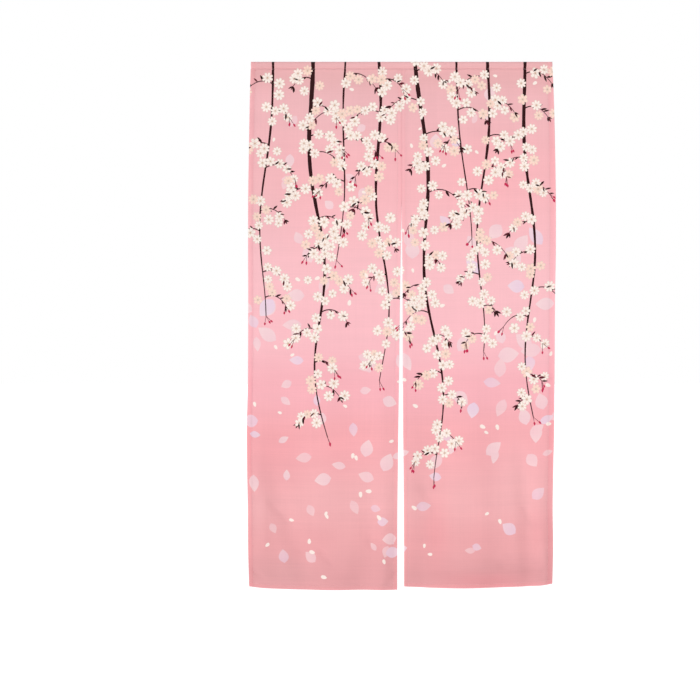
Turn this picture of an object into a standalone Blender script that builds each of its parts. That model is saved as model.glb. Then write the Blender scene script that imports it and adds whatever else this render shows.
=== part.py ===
"""Two-panel split door curtain of thin cloth, hanging from the rod casing across its top.

Metres, +Z up. The origin is the centre of the casing's top edge, +X runs to the viewer's
right, and the front of the cloth faces -Y. A "drop" is a distance down from the top edge.
"""

import math
from collections import namedtuple

import bmesh
import bpy

# Cloth thicknesses, the widths of its turned hems, and the gap left at a sewn joint
CLOTH = 0.0012
HEM_LAYER = 0.0008
HEM_STEP = 0.0012
SIDE_HEM = 0.016
SLIT_HEM = 0.013
BOTTOM_HEM = 0.012
GAP = 0.0003

# Rod casing: a loop of cloth that closes in a flat stitched lip
CASING_WIDTH = 0.850
LOOP_HEIGHT = 0.0200
LOOP_DEPTH = 0.0148
CASING_WALL = 0.0013
LIP_HEIGHT = 0.0025
LIP_DEPTH = 0.0024
CASING_STATIONS = 27
LOOP_POINTS = 20

# The two panels
PANEL_TOP = LOOP_HEIGHT + LIP_HEIGHT + GAP
SEAM_DROP = 0.420
BODY_COLUMNS = 15
BODY_ROWS = 40
ROW_CROWDING = 1.45

# Finish
CLOTH_COLOUR = (0.955, 0.490, 0.525, 1.0)
CLOTH_ROUGHNESS = 0.85
SHARP_ANGLE = math.radians(40)

# Where the panels' edges hang, at each drop
Level = namedtuple("Level", "drop left_outer left_slit right_slit right_outer")
LEVELS = (
    Level(0.000, -0.4252, 0.0000, 0.0000, 0.4252),
    Level(0.085, -0.4279, 0.0000, 0.0000, 0.4292),
    Level(0.225, -0.4305, 0.0000, 0.0000, 0.4330),
    Level(SEAM_DROP, -0.4332, 0.0000, 0.0000, 0.4356),
    Level(0.520, -0.4333, -0.0018, 0.0014, 0.4354),
    Level(0.670, -0.4328, -0.0044, 0.0027, 0.4332),
    Level(0.900, -0.4335, -0.0072, 0.0036, 0.4315),
    Level(1.040, -0.4365, -0.0090, 0.0041, 0.4302),
    Level(1.160, -0.4355, -0.0104, 0.0055, 0.4276),
    Level(1.260, -0.4335, -0.0114, 0.0061, 0.4262),
    Level(1.360, -0.4330, -0.0117, 0.0066, 0.4275),
    Level(1.490, -0.4300, -0.0117, 0.0069, 0.4250),
)

# The drop of the hem's lower edge, from the outer edge (share 0) to the slit (share 1)
HemPoint = namedtuple("HemPoint", "share left right")
HEM_LINE = (
    HemPoint(0.00, 1.4795, 1.4715),
    HemPoint(0.10, 1.4842, 1.4775),
    HemPoint(0.25, 1.4872, 1.4815),
    HemPoint(0.40, 1.4890, 1.4843),
    HemPoint(0.60, 1.4898, 1.4851),
    HemPoint(0.80, 1.4900, 1.4842),
    HemPoint(1.00, 1.4900, 1.4790),
)

# Folds run down the cloth. Each grows from its top to its deepest drop and is gone at its
# end. Its line leans by that much over a metre of drop. A depth above 0 swells towards the
# viewer, and one below 0 sinks away.
Fold = namedtuple("Fold", "x lean half_width depth top deepest end")
RIPPLES = (
    Fold(-0.360, 0.02, 0.050, 0.0022, 0.02, 0.10, 0.55),
    Fold(-0.245, 0.05, 0.042, -0.0016, 0.02, 0.08, 0.40),
    Fold(-0.130, 0.03, 0.055, 0.0020, 0.02, 0.12, 0.60),
    Fold(0.095, -0.02, 0.048, -0.0018, 0.02, 0.10, 0.45),
    Fold(0.190, -0.04, 0.060, 0.0022, 0.02, 0.12, 0.60),
    Fold(0.330, 0.02, 0.045, -0.0020, 0.02, 0.09, 0.50),
)
LEFT_FOLDS = (
    Fold(-0.405, 0.01, 0.062, 0.0050, 0.70, 1.28, 2.20),
    Fold(-0.316, 0.32, 0.048, -0.0055, 1.00, 1.31, 1.62),
    Fold(-0.212, 0.05, 0.098, 0.0065, 0.60, 1.25, 2.30),
    Fold(-0.100, -0.14, 0.062, -0.0050, 0.95, 1.42, 2.20),
    Fold(-0.052, 0.02, 0.050, 0.0045, 0.55, 1.15, 1.75),
    Fold(-0.014, 0.00, 0.042, -0.0070, 1.05, 1.50, 2.40),
)
RIGHT_FOLDS = (
    Fold(0.015, 0.00, 0.048, 0.0045, 0.65, 1.25, 2.20),
    Fold(0.080, -0.10, 0.068, -0.0060, 0.80, 1.27, 2.00),
    Fold(0.185, -0.04, 0.092, 0.0060, 0.55, 1.36, 2.30),
    Fold(0.276, 0.03, 0.062, -0.0040, 0.85, 1.42, 2.30),
    Fold(0.353, 0.08, 0.042, -0.0065, 1.02, 1.28, 1.70),
    Fold(0.396, -0.02, 0.046, 0.0070, 0.75, 1.36, 2.00),
)

# Broad swells and hollows that don't run the whole way down, such as a hem that tips back
Swell = namedtuple("Swell", "x drop half_width half_height depth")
SWELLS = (
    Swell(0.200, 1.400, 0.210, 0.085, 0.0045),
    Swell(0.235, 1.530, 0.250, 0.095, -0.0110),
    Swell(-0.258, 1.388, 0.070, 0.045, -0.0045),
    Swell(-0.200, 1.540, 0.260, 0.090, -0.0070),
    Swell(-0.425, 1.500, 0.090, 0.080, -0.0050),
    Swell(0.000, 1.000, 0.520, 0.060, 0.0012),
)

# How far the loop of the casing is fuller (above 0) or flatter (below 0) along its length
Pucker = namedtuple("Pucker", "x half_width depth")
PUCKERS = (
    Pucker(-0.425, 0.060, -0.0009),
    Pucker(-0.290, 0.080, 0.0006),
    Pucker(-0.120, 0.070, -0.0005),
    Pucker(0.000, 0.030, -0.0008),
    Pucker(0.130, 0.090, 0.0006),
    Pucker(0.280, 0.070, -0.0006),
    Pucker(0.425, 0.070, -0.0010),
)


def clear_scene():
    for item in list(bpy.data.objects):
        bpy.data.objects.remove(item, do_unlink=True)


def ease(value, low, high):
    """0 at low and 1 at high, with no kink at either."""
    share = min(max((value - low) / (high - low), 0.0), 1.0)
    return share * share * (3.0 - 2.0 * share)


def bump(offset):
    """1 at the middle and 0 from offset 1 outwards, round on top and level at its foot."""
    if abs(offset) >= 1.0:
        return 0.0
    return 0.5 * (1.0 + math.cos(math.pi * offset))


def read_table(rows, column, at):
    """The named column's value between the table's rows, on a smooth curve that never
    runs past the rows' own values."""
    places = [row[0] for row in rows]
    values = [getattr(row, column) for row in rows]
    if at <= places[0]:
        return values[0]
    if at >= places[-1]:
        return values[-1]
    low = max(i for i, place in enumerate(places) if place <= at)
    high = low + 1

    def secant(i):
        return (values[i + 1] - values[i]) / (places[i + 1] - places[i])

    def slope(i):
        before = secant(max(i - 1, 0))
        after = secant(min(i, len(rows) - 2))
        return 2 * before * after / (before + after) if before * after > 0 else 0.0

    run = places[high] - places[low]
    t = (at - places[low]) / run
    start = values[low] * (1 + 2 * t) * (1 - t) ** 2 + slope(low) * run * t * (1 - t) ** 2
    finish = values[high] * t * t * (3 - 2 * t) + slope(high) * run * t * t * (t - 1)
    return start + finish


def fold_depth(folds, x, drop):
    total = 0.0
    for fold in folds:
        line = fold.x - fold.lean * (fold.deepest - drop)
        growth = ease(drop, fold.top, fold.deepest) * (1.0 - ease(drop, fold.deepest, fold.end))
        total += fold.depth * growth * bump((x - line) / fold.half_width)
    return total


def swell_depth(x, drop):
    total = 0.0
    for swell in SWELLS:
        across = bump((x - swell.x) / swell.half_width)
        total += swell.depth * across * bump((drop - swell.drop) / swell.half_height)
    return total


def front_y(side, x, drop):
    """Y of the middle of the cloth at a place on a panel; -Y is towards the viewer."""
    folds = LEFT_FOLDS if side == "left" else RIGHT_FOLDS
    return -(fold_depth(RIPPLES, x, drop) + fold_depth(folds, x, drop) + swell_depth(x, drop))


def edges_at(side, drop):
    """X of a panel's outer edge and of its slit edge at a drop."""
    outer = read_table(LEVELS, side + "_outer", drop)
    slit = read_table(LEVELS, side + "_slit", drop)
    inward = 1.0 if side == "left" else -1.0
    return outer, slit - inward * GAP / 2


def panel_columns():
    """Each column as (share of the width, shift towards the slit, is it in a hem)."""
    outer_hem = SIDE_HEM + HEM_STEP
    slit_hem = SLIT_HEM + HEM_STEP
    columns = [(0.0, 0.0, True), (0.0, SIDE_HEM, True)]
    for i in range(BODY_COLUMNS + 1):
        share = i / BODY_COLUMNS
        columns.append((share, outer_hem * (1 - share) - slit_hem * share, False))
    columns += [(1.0, -SLIT_HEM, True), (1.0, 0.0, True)]
    return columns


def panel_rows():
    """Each row as (share of the way down to the bottom hem, drop past that, is it in the hem)."""
    rows = []
    for i in range(BODY_ROWS + 1):
        rows.append((1.0 - (1.0 - i / BODY_ROWS) ** ROW_CROWDING, 0.0, False))
    rows += [(1.0, HEM_STEP, True), (1.0, HEM_STEP + BOTTOM_HEM, True)]
    return rows


def panel_mesh(side):
    """One panel's front face on its folds, pulled back by its thickness into a closed sheet."""
    inward = 1.0 if side == "left" else -1.0
    sheet = bmesh.new()
    thickness = sheet.verts.layers.float.new("thickness")
    grid = []
    for row_share, past, in_bottom_hem in panel_rows():
        line = []
        for share, shift, in_side_hem in panel_columns():
            hem_drop = read_table(HEM_LINE, side, share)
            hem_top = hem_drop - BOTTOM_HEM - HEM_STEP
            drop = PANEL_TOP + (hem_top - PANEL_TOP) * row_share + past
            outer, slit = edges_at(side, drop)
            x = outer + (slit - outer) * share + inward * shift
            vert = sheet.verts.new((x, front_y(side, x, drop) - CLOTH / 2, -drop))
            vert[thickness] = CLOTH + HEM_LAYER * (in_side_hem + in_bottom_hem)
            line.append(vert)
        grid.append(line)
    for upper, lower in zip(grid, grid[1:]):
        for i in range(len(upper) - 1):
            sheet.faces.new((upper[i], upper[i + 1], lower[i + 1], lower[i]))
    pulled = bmesh.ops.extrude_face_region(sheet, geom=sheet.faces[:])
    for item in pulled["geom"]:
        if isinstance(item, bmesh.types.BMVert):
            item.co.y += item[thickness]
    bmesh.ops.recalc_face_normals(sheet, faces=sheet.faces[:])
    return sheet


def loop_section(x):
    """The casing's outer and inner outlines in Y and Z at one place along it, from the lip up
    the front and down the back."""
    fuller = sum(p.depth * bump((x - p.x) / p.half_width) for p in PUCKERS)
    half_depth = LOOP_DEPTH / 2 + fuller
    half_height = LOOP_HEIGHT / 2
    outer = [(-LIP_DEPTH / 2, -LOOP_HEIGHT - LIP_HEIGHT)]
    inner = []
    for i in range(LOOP_POINTS):
        angle = math.pi * 2 * (i + 0.5) / LOOP_POINTS
        across = -math.sin(angle)
        up = -math.cos(angle)
        outer.append((half_depth * across, half_height * up - half_height))
        inner.append(
            ((half_depth - CASING_WALL) * across, (half_height - CASING_WALL) * up - half_height)
        )
    outer.append((LIP_DEPTH / 2, -LOOP_HEIGHT - LIP_HEIGHT))
    return outer, inner


def casing_mesh():
    """The loop and its lip, drawn along X with an open tunnel through it."""
    casing = bmesh.new()
    outer_rings = []
    inner_rings = []
    for i in range(CASING_STATIONS):
        x = CASING_WIDTH * (i / (CASING_STATIONS - 1) - 0.5)
        outer, inner = loop_section(x)
        outer_rings.append([casing.verts.new((x, y, z)) for y, z in outer])
        inner_rings.append([casing.verts.new((x, y, z)) for y, z in inner])
    for rings in (outer_rings, inner_rings):
        for near, far in zip(rings, rings[1:]):
            for i, vert in enumerate(near):
                after = (i + 1) % len(near)
                casing.faces.new((vert, near[after], far[after], far[i]))
    for outer, inner in ((outer_rings[0], inner_rings[0]), (outer_rings[-1], inner_rings[-1])):
        for i in range(LOOP_POINTS - 1):
            casing.faces.new((outer[i + 1], outer[i + 2], inner[i + 1], inner[i]))
        casing.faces.new((outer[0], outer[1], inner[0], inner[-1], outer[-2], outer[-1]))
    bmesh.ops.recalc_face_normals(casing, faces=casing.faces[:])
    return casing


def cloth_material(name):
    material = bpy.data.materials.new(name)
    material.use_nodes = True
    shader = material.node_tree.nodes["Principled BSDF"]
    shader.inputs["Base Color"].default_value = CLOTH_COLOUR
    shader.inputs["Roughness"].default_value = CLOTH_ROUGHNESS
    shader.inputs["Metallic"].default_value = 0.0
    return material


def add_piece(name, built):
    mesh = bpy.data.meshes.new(name)
    built.to_mesh(mesh)
    built.free()
    mesh.shade_smooth()
    mesh.set_sharp_from_angle(angle=SHARP_ANGLE)
    mesh.materials.append(cloth_material(name + "_cloth"))
    piece = bpy.data.objects.new(name, mesh)
    bpy.context.scene.collection.objects.link(piece)
    return piece


def main():
    clear_scene()
    add_piece("heading", casing_mesh())
    add_piece("left_panel", panel_mesh("left"))
    add_piece("right_panel", panel_mesh("right"))


main()
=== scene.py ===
"""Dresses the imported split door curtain: printed cloth, turned hems, stitching and a studio.

Metres, +Z up, the cloth's front towards -Y. Cloth is laid out flat first: u runs to the
right from the centre seam, and v runs up from the casing's top edge, so v is minus a drop.
"""

import math
import random
from collections import namedtuple

import bpy
from bpy.props import FloatProperty, FloatVectorProperty, PointerProperty
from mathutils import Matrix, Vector, noise
from mathutils.geometry import delaunay_2d_cdt


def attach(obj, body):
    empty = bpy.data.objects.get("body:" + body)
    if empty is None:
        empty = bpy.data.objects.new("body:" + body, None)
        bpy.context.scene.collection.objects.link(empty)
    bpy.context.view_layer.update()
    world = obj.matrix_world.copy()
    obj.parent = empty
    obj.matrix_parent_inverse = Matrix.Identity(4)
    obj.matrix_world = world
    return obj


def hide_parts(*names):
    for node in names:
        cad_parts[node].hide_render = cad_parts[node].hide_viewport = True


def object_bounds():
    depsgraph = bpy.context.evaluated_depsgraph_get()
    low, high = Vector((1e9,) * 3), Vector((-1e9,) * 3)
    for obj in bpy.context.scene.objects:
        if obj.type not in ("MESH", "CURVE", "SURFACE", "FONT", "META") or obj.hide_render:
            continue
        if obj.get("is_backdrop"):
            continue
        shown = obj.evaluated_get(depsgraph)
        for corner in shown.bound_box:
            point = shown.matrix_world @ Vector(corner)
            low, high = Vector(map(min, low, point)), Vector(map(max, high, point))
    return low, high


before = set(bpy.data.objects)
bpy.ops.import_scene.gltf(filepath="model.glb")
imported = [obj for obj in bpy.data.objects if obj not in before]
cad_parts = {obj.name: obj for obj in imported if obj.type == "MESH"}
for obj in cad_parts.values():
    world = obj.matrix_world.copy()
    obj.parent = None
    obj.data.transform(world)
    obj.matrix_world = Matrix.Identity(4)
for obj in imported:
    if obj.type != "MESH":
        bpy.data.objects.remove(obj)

CAD_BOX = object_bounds()

bl_info = {
    "name": "Split door curtain",
    "version": (1, 0, 0),
    "blender": (4, 5, 0),
    "location": "3D View > Sidebar > Curtain",
    "description": "Sews, prints and lights a two-panel split door curtain",
    "category": "Object",
}


def table(fields, *rows):
    """The rows, with each of their values named by its field."""
    row_type = namedtuple("Row", fields)
    return tuple(row_type(*row) for row in rows)


# The hung shape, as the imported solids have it
GAP = 0.0003
CASING_WIDTH = 0.850
LOOP_HEIGHT = 0.0200
LOOP_DEPTH = 0.0148
LIP_HEIGHT = 0.0025
LIP_DEPTH = 0.0024
PANEL_TOP = LOOP_HEIGHT + LIP_HEIGHT + GAP
SEAM_DROP = 0.420

# How far a panel runs up between the casing's lips, and the left one under the right
TUCK = 0.0016
PANEL_HIGH = PANEL_TOP - TUCK
LAP = 0.0016

# The least that is left between the casing's middle and its inner face
LEAST_HOLLOW = 0.0001

# The drops over which the lap, the sewn relief and the seam's painted shade end
LAP_END = (SEAM_DROP - 0.04, SEAM_DROP - 0.01)
RELIEF_END = (SEAM_DROP - 0.01, SEAM_DROP + 0.06)
DARK_END = (SEAM_DROP - 0.03, SEAM_DROP + 0.02)

# One panel laid flat, and how far its folded edges round off
PANEL_WIDTH = 0.4335
PANEL_FOOT = 1.4900
FRONT_STAND = 0.0006
EDGE_ROUND = 0.0004
BOTTOM_HEM = 0.0120
SLIT_HEM = 0.0130
HEM_STEP = 0.0012
SIDE_HEMS = {"left": 0.0150, "right": 0.0175}
STITCH_INSET = 0.0012

# Lines of points that the flat cloth gets beside its edges, stitches and seam
OUTER_MARKS = (0.0016, 0.0050)
EDGE_MARKS = (0.0014, 0.0045)
LINE_MARK = 0.0013
TOP_MARK = 0.0015
SEAM_MARK = 0.0012

# The casing's own points, how near a print's corner a point is left out, as a share
# of a column's width, and how near each other two points become one
CASING_STEP = 0.0045
CASING_TURNS = 12
CROWDED_SHARE = 0.45
CUT_NEAR = 1e-6

# Where the panels' edges hang, as x at each drop below the casing's top edge
LEVELS = table(
    "drop left_outer left_slit right_slit right_outer",
    (0.000, -0.4252, 0.0000, 0.0000, 0.4252),
    (0.085, -0.4279, 0.0000, 0.0000, 0.4292),
    (0.225, -0.4305, 0.0000, 0.0000, 0.4330),
    (SEAM_DROP, -0.4332, 0.0000, 0.0000, 0.4356),
    (0.520, -0.4333, -0.0018, 0.0014, 0.4354),
    (0.670, -0.4328, -0.0044, 0.0027, 0.4332),
    (0.900, -0.4335, -0.0072, 0.0036, 0.4315),
    (1.040, -0.4365, -0.0090, 0.0041, 0.4302),
    (1.160, -0.4355, -0.0104, 0.0055, 0.4276),
    (1.260, -0.4335, -0.0114, 0.0061, 0.4262),
    (1.360, -0.4330, -0.0117, 0.0066, 0.4275),
    (1.490, -0.4300, -0.0117, 0.0069, 0.4250),
)

# The bottom edge's drop, at shares of the way from a panel's outer edge to its slit
HEM_LINE = table(
    "share left right",
    (0.00, 1.4795, 1.4715),
    (0.10, 1.4842, 1.4775),
    (0.25, 1.4872, 1.4815),
    (0.40, 1.4890, 1.4843),
    (0.60, 1.4898, 1.4851),
    (0.80, 1.4900, 1.4842),
    (1.00, 1.4900, 1.4790),
)

# Folds that hang down the cloth: each is deepest at one drop, where it lies at x
FOLD_ROW = "x lean half_width depth top deepest end"
RIPPLES = table(
    FOLD_ROW,
    (-0.360, 0.02, 0.050, 0.0022, 0.02, 0.10, 0.55),
    (-0.245, 0.05, 0.042, -0.0016, 0.02, 0.08, 0.40),
    (-0.130, 0.03, 0.055, 0.0020, 0.02, 0.12, 0.60),
    (0.095, -0.02, 0.048, -0.0018, 0.02, 0.10, 0.45),
    (0.190, -0.04, 0.060, 0.0022, 0.02, 0.12, 0.60),
    (0.330, 0.02, 0.045, -0.0020, 0.02, 0.09, 0.50),
)
LEFT_FOLDS = table(
    FOLD_ROW,
    (-0.405, 0.01, 0.062, 0.0050, 0.70, 1.28, 2.20),
    (-0.316, 0.32, 0.048, -0.0055, 1.00, 1.31, 1.62),
    (-0.212, 0.05, 0.098, 0.0065, 0.60, 1.25, 2.30),
    (-0.100, -0.14, 0.062, -0.0050, 0.95, 1.42, 2.20),
    (-0.052, 0.02, 0.050, 0.0045, 0.55, 1.15, 1.75),
    (-0.014, 0.00, 0.042, -0.0070, 1.05, 1.50, 2.40),
)
RIGHT_FOLDS = table(
    FOLD_ROW,
    (0.015, 0.00, 0.048, 0.0045, 0.65, 1.25, 2.20),
    (0.080, -0.10, 0.068, -0.0060, 0.80, 1.27, 2.00),
    (0.185, -0.04, 0.092, 0.0060, 0.55, 1.36, 2.30),
    (0.276, 0.03, 0.062, -0.0040, 0.85, 1.42, 2.30),
    (0.353, 0.08, 0.042, -0.0065, 1.02, 1.28, 1.70),
    (0.396, -0.02, 0.046, 0.0070, 0.75, 1.36, 2.00),
)

# Broad swells, most of them near the foot; depth below 0 lies further back
SWELLS = table(
    "x drop half_width half_height depth",
    (0.200, 1.400, 0.210, 0.085, 0.0045),
    (0.235, 1.530, 0.250, 0.095, -0.0110),
    (-0.258, 1.388, 0.070, 0.045, -0.0045),
    (-0.200, 1.540, 0.260, 0.090, -0.0070),
    (-0.425, 1.500, 0.090, 0.080, -0.0050),
    (0.000, 1.000, 0.520, 0.060, 0.0012),
)

# Where the empty casing stands fuller or flatter along its length
PUCKERS = table(
    "x half_width depth",
    (-0.425, 0.060, -0.0009),
    (-0.290, 0.080, 0.0006),
    (-0.120, 0.070, -0.0005),
    (0.000, 0.030, -0.0008),
    (0.130, 0.090, 0.0006),
    (0.280, 0.070, -0.0006),
    (0.425, 0.070, -0.0010),
)

# Soft creases pressed into the cloth, each along a line; depth below 0 is a dent
CREASES = table(
    "x1 drop1 x2 drop2 half_width depth",
    (-0.3660, 1.250, -0.3200, 1.298, 0.017, -0.0024),
    (-0.3900, 1.240, -0.3880, 1.360, 0.022, 0.0014),
    (-0.2860, 1.380, -0.2300, 1.383, 0.014, -0.0016),
    (-0.2300, 1.383, -0.2000, 1.414, 0.015, -0.0022),
    (-0.3000, 1.402, -0.2350, 1.412, 0.016, 0.0010),
    (-0.0900, 1.350, -0.0350, 1.405, 0.026, -0.0018),
    (-0.0480, 1.482, -0.0180, 1.446, 0.016, -0.0024),
    (-0.4180, 1.434, -0.3950, 1.455, 0.014, -0.0018),
    (-0.3500, 1.452, -0.1200, 1.462, 0.020, -0.0010),
    (0.0580, 1.200, 0.0900, 1.262, 0.024, -0.0018),
    (0.3480, 1.262, 0.3660, 1.308, 0.015, -0.0026),
    (0.3860, 1.330, 0.4000, 1.402, 0.018, 0.0016),
    (0.2850, 1.425, 0.3900, 1.440, 0.024, -0.0026),
    (0.1000, 1.440, 0.2850, 1.425, 0.022, -0.0014),
    (0.1700, 1.398, 0.2800, 1.388, 0.016, 0.0012),
    (0.3500, 1.080, 0.3720, 1.230, 0.026, 0.0012),
    (-0.4000, 0.998, 0.0000, 1.010, 0.016, -0.0006),
    (0.0200, 1.008, 0.4100, 0.996, 0.016, -0.0007),
    (-0.3100, 0.655, -0.1200, 0.650, 0.014, -0.0004),
    (0.1500, 0.668, 0.3600, 0.660, 0.014, -0.0004),
)

# Broad patches of painted light and shade, partly also uneven dye: brighter where change is
# above
# 0 and redder where rich is above 0; darker at the top corners and at the foot on the right,
# where the cloth tips back
SHADE_AND_DYE_PATCHES = table(
    "x drop half_width half_height change rich",
    (-0.400, 0.030, 0.080, 0.060, -0.040, 0.3),
    (0.395, 0.030, 0.090, 0.050, -0.035, 0.3),
    (-0.190, 0.150, 0.190, 0.200, -0.010, -0.6),
    (0.260, 0.320, 0.190, 0.190, 0.010, 0.9),
    (-0.390, 0.380, 0.130, 0.320, -0.035, -0.7),
    (-0.360, 1.130, 0.150, 0.190, -0.040, 0.9),
    (-0.170, 1.090, 0.130, 0.150, 0.010, 0.5),
    (-0.330, 1.440, 0.150, 0.070, -0.010, -0.7),
    (0.330, 1.445, 0.160, 0.065, -0.050, 0.2),
    (0.120, 1.450, 0.120, 0.050, -0.030, 0.3),
    (-0.120, 1.270, 0.160, 0.120, 0.020, 0.0),
    (-0.405, 1.290, 0.040, 0.120, -0.010, -0.3),
    (0.020, 1.350, 0.055, 0.200, 0.060, 0.3),
    (0.095, 1.310, 0.060, 0.180, -0.030, 1.2),
    (0.400, 1.290, 0.050, 0.110, -0.045, 0.8),
    (0.220, 1.300, 0.060, 0.170, 0.040, 0.2),
    (-0.155, 1.360, 0.075, 0.110, 0.045, -0.3),
    (0.320, 1.130, 0.100, 0.140, 0.010, -0.7),
    (0.240, 1.466, 0.180, 0.040, -0.020, 2.0),
)
# Painted shade in the creases' dents and painted light on their ridges, per metre of depth
CREASE_LIGHT_AND_SHADE = 12.0
# Painted shade down the seam's crevice where the panels are joined, and its spread
SEAM_SHADE = 0.10
SEAM_REACH = 0.0022
# Painted shade along the stitched grooves, and its spread
GROOVE_SHADE = 0.05
GROOVE_REACH = 0.0022
# Painted shade along the outer hems' stitch lines and inner edges, and its spread
SIDE_LINE_SHADE = 0.05
SIDE_LINE_REACH = 0.0045
# Painted light under the casing's round, where it turns down and away from the light: its
# strength, where it is most, and its spread
UNDERSIDE_LIGHT = 0.15
UNDERSIDE_DROP = 0.0188
UNDERSIDE_REACH = 0.0045
# Painted highlight along the folded edges, where they catch the light, and its spread
EDGE_HIGHLIGHT = 0.06
EDGE_REACH = 0.0042
FOOT_TONE = 0.04
FOOT_FADE = 0.002

# How much redder the outer, slit and bottom hems look, and what redder and paler mean
HEM_RICH = (1.5, 0.6, 0.8)
RICHER = (1.02, 0.96, 0.97)
PALER = (0.93, 0.80, 0.82)
SHOW_THROUGH = 0.5

# The ground, as the drop at which each named colour is reached: a dyed fade, with painted
# shade darker near the casing and where the cloth tips back at the foot
GROUND = table(
    "drop colour",
    (0.009, "top"),
    (0.037, "yoke"),
    (0.112, "upper"),
    (0.313, "chest"),
    (0.620, "middle"),
    (0.780, "waist"),
    (0.924, "hip"),
    (1.060, "lower"),
    (1.240, "knee"),
    (1.356, "shin"),
    (1.445, "foot"),
)

# The seam's raised edge on the right panel, and the sunk one beside it on the left
RIDGE_HEIGHT = 0.0008
RIDGE_WIDTH = 0.0165
RIDGE_FADE = 0.0050
RIDGE_BELOW = 0.35
RIDGE_FULL = 0.05
SUNK_DEPTH = 0.0004

# Slight unevenness that the needle and the loom leave in the cloth
GROOVE_DEPTH = 0.00035
GROOVE_HALF = 0.0017
PUCKER_DEPTH = 0.00020
PUCKER_REACH = 0.017
PUCKER_LENGTH = 0.0190
PUCKER_BEAT = 0.0310
BEAT_SHARE = 0.7
BEAT_SHIFT = 1.3
SLIT_SHIFT = 0.011
DRIFT_DEPTH = 0.0007
DRIFT_CLOUD = (9.0, 4.5, 0.7)
CRUMPLE_DEPTH = 0.00022
CRUMPLE_CLOUD = (34.0, 22.0, 3.1)
EVEN_ABOVE = 0.07

# A stitch, and how far a row of stitches keeps from a sheet's ends, edges and loop
STITCH_SIDES = 5
STITCH_END = 0.45
STITCH_SINK = 0.00012
STITCH_LIFT = 0.4 * STITCH_SINK
FIRST_STITCH = 0.08
NEXT_TO = 0.0005
RUN_END = 0.001
RUN_SIDE = 0.002
CASING_LINE = 0.0003

# Stems of the print, each hanging from the top edge in a slow curve
GARLANDS = table(
    "x length lean sway waves phase width twigs",
    (-0.372, 0.720, -0.026, 0.016, 1.15, 0.4, 0.0070, 8),
    (-0.262, 1.060, 0.052, 0.026, 1.70, 2.2, 0.0125, 13),
    (-0.158, 0.560, -0.020, 0.012, 0.90, 4.1, 0.0056, 6),
    (-0.072, 0.900, 0.030, 0.022, 1.45, 1.0, 0.0092, 10),
    (0.046, 1.180, 0.062, 0.024, 1.85, 5.1, 0.0118, 14),
    (0.158, 0.500, 0.028, 0.012, 0.80, 3.3, 0.0054, 5),
    (0.246, 0.820, -0.034, 0.020, 1.30, 0.1, 0.0084, 9),
    (0.352, 1.010, 0.018, 0.020, 1.60, 2.7, 0.0100, 12),
)

# Fuller sprays of blossoms on the long stems, as shares of the stem's length
SPRAYS = table(
    "stem share reach count",
    (0, 0.72, 0.042, 5),
    (0, 0.90, 0.034, 4),
    (1, 0.47, 0.060, 9),
    (1, 0.58, 0.052, 8),
    (1, 0.71, 0.044, 7),
    (3, 0.52, 0.052, 8),
    (3, 0.66, 0.050, 8),
    (3, 0.84, 0.036, 5),
    (4, 0.42, 0.048, 7),
    (4, 0.56, 0.054, 8),
    (4, 0.70, 0.042, 6),
    (6, 0.66, 0.044, 7),
    (6, 0.84, 0.040, 6),
    (7, 0.56, 0.048, 7),
    (7, 0.74, 0.042, 6),
)

# Pale leaves that drift behind the stems, as bands of drop with how many lie in each
DRIFT_ROW = "high low count longest cover"
PALE_LEAVES = table(
    DRIFT_ROW,
    (0.10, 0.45, 14, 0.046, 1.00),
    (0.45, 0.85, 36, 0.062, 1.00),
    (0.85, 1.20, 40, 0.056, 0.95),
    # Less cover in the lowest band, so that the painted shade of the ground near the foot
    # darkens these leaves
    (1.20, 1.44, 17, 0.048, 0.76),
)
SEEDS = table(
    DRIFT_ROW,
    (0.03, 0.50, 20, 0.015, 0.96),
    (0.50, 1.00, 24, 0.018, 0.96),
    (1.00, 1.47, 24, 0.018, 0.92),
)

# Random draws, spacings, widths and covers of the print
PRINT_SEED = 41
BLOSSOM_SPACING = 0.54
TWIG_BLOSSOMS = 0.86
STEM_TIP = 0.0024
STEM_TAPER = 1.2
STEM_STEP = 0.02
STEM_SPREAD = 0.024
SWAY_AT_TOP = 0.35
TWIG_STEPS = 10
TWIG_LEAVES = (3, 5, 7, 8, 10)
TWIG_WIDTH = 0.0035
TWIG_TAPER = 0.0019
TWIG_SPREAD = 0.020
ARCH_OUT = (1.1, 0.1)
ARCH_UP = (0.62, 0.98)
STALK_WIDTH = 0.0013
BUD_WIDTH = 0.0056
PETAL_COVER = 0.97
HEART_COVER = 0.9

# The map for export: the front in its left half, the back in its right, rims outside
BAKE_EDGE = 0.015
BAKE_WIDTH = 0.465
BAKE_HEIGHT = 0.97
BAKE_BACK = 0.5
BAKE_RIM = 0.004

FLOOR_HALF = 40.0
WHITE = (1.0, 1.0, 1.0)

# One outline of the print, with its colour at its centre and at its reach
Motif = namedtuple("Motif", "outline centre reach inner outer cover")
# A cloth that is cut flat; tops holds the motif on each triangle, or None
Cut = namedtuple("Cut", "box flat triangles tops")
# The panels, laid flat; sign is the way from the centre seam to the outer edge, and the
# last value is the painted highlight down the outer edge
PANELS = table(
    "side sign left right outer_hem edge_tone",
    ("left", -1.0, -PANEL_WIDTH, 0.0, SIDE_HEMS["left"], 0.04),
    ("right", 1.0, 0.0, PANEL_WIDTH, SIDE_HEMS["right"], 0.13),
)


def paint(red, green, blue):
    """A linear colour from the 0 to 255 values of a paint chart."""
    def one(value):
        share = value / 255
        return share / 12.92 if share <= 0.04045 else ((share + 0.055) / 1.055) ** 2.4
    return (one(red), one(green), one(blue))


def colour(name, words, red, green, blue):
    return FloatVectorProperty(
        name=name,
        description=words,
        subtype="COLOR",
        size=3,
        min=0.0,
        max=1.0,
        default=paint(red, green, blue),
    )


def length(name, words, default, low, high):
    return FloatProperty(
        name=name,
        description=words,
        subtype="DISTANCE",
        unit="LENGTH",
        default=default,
        min=low,
        max=high,
        precision=5,
    )


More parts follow.
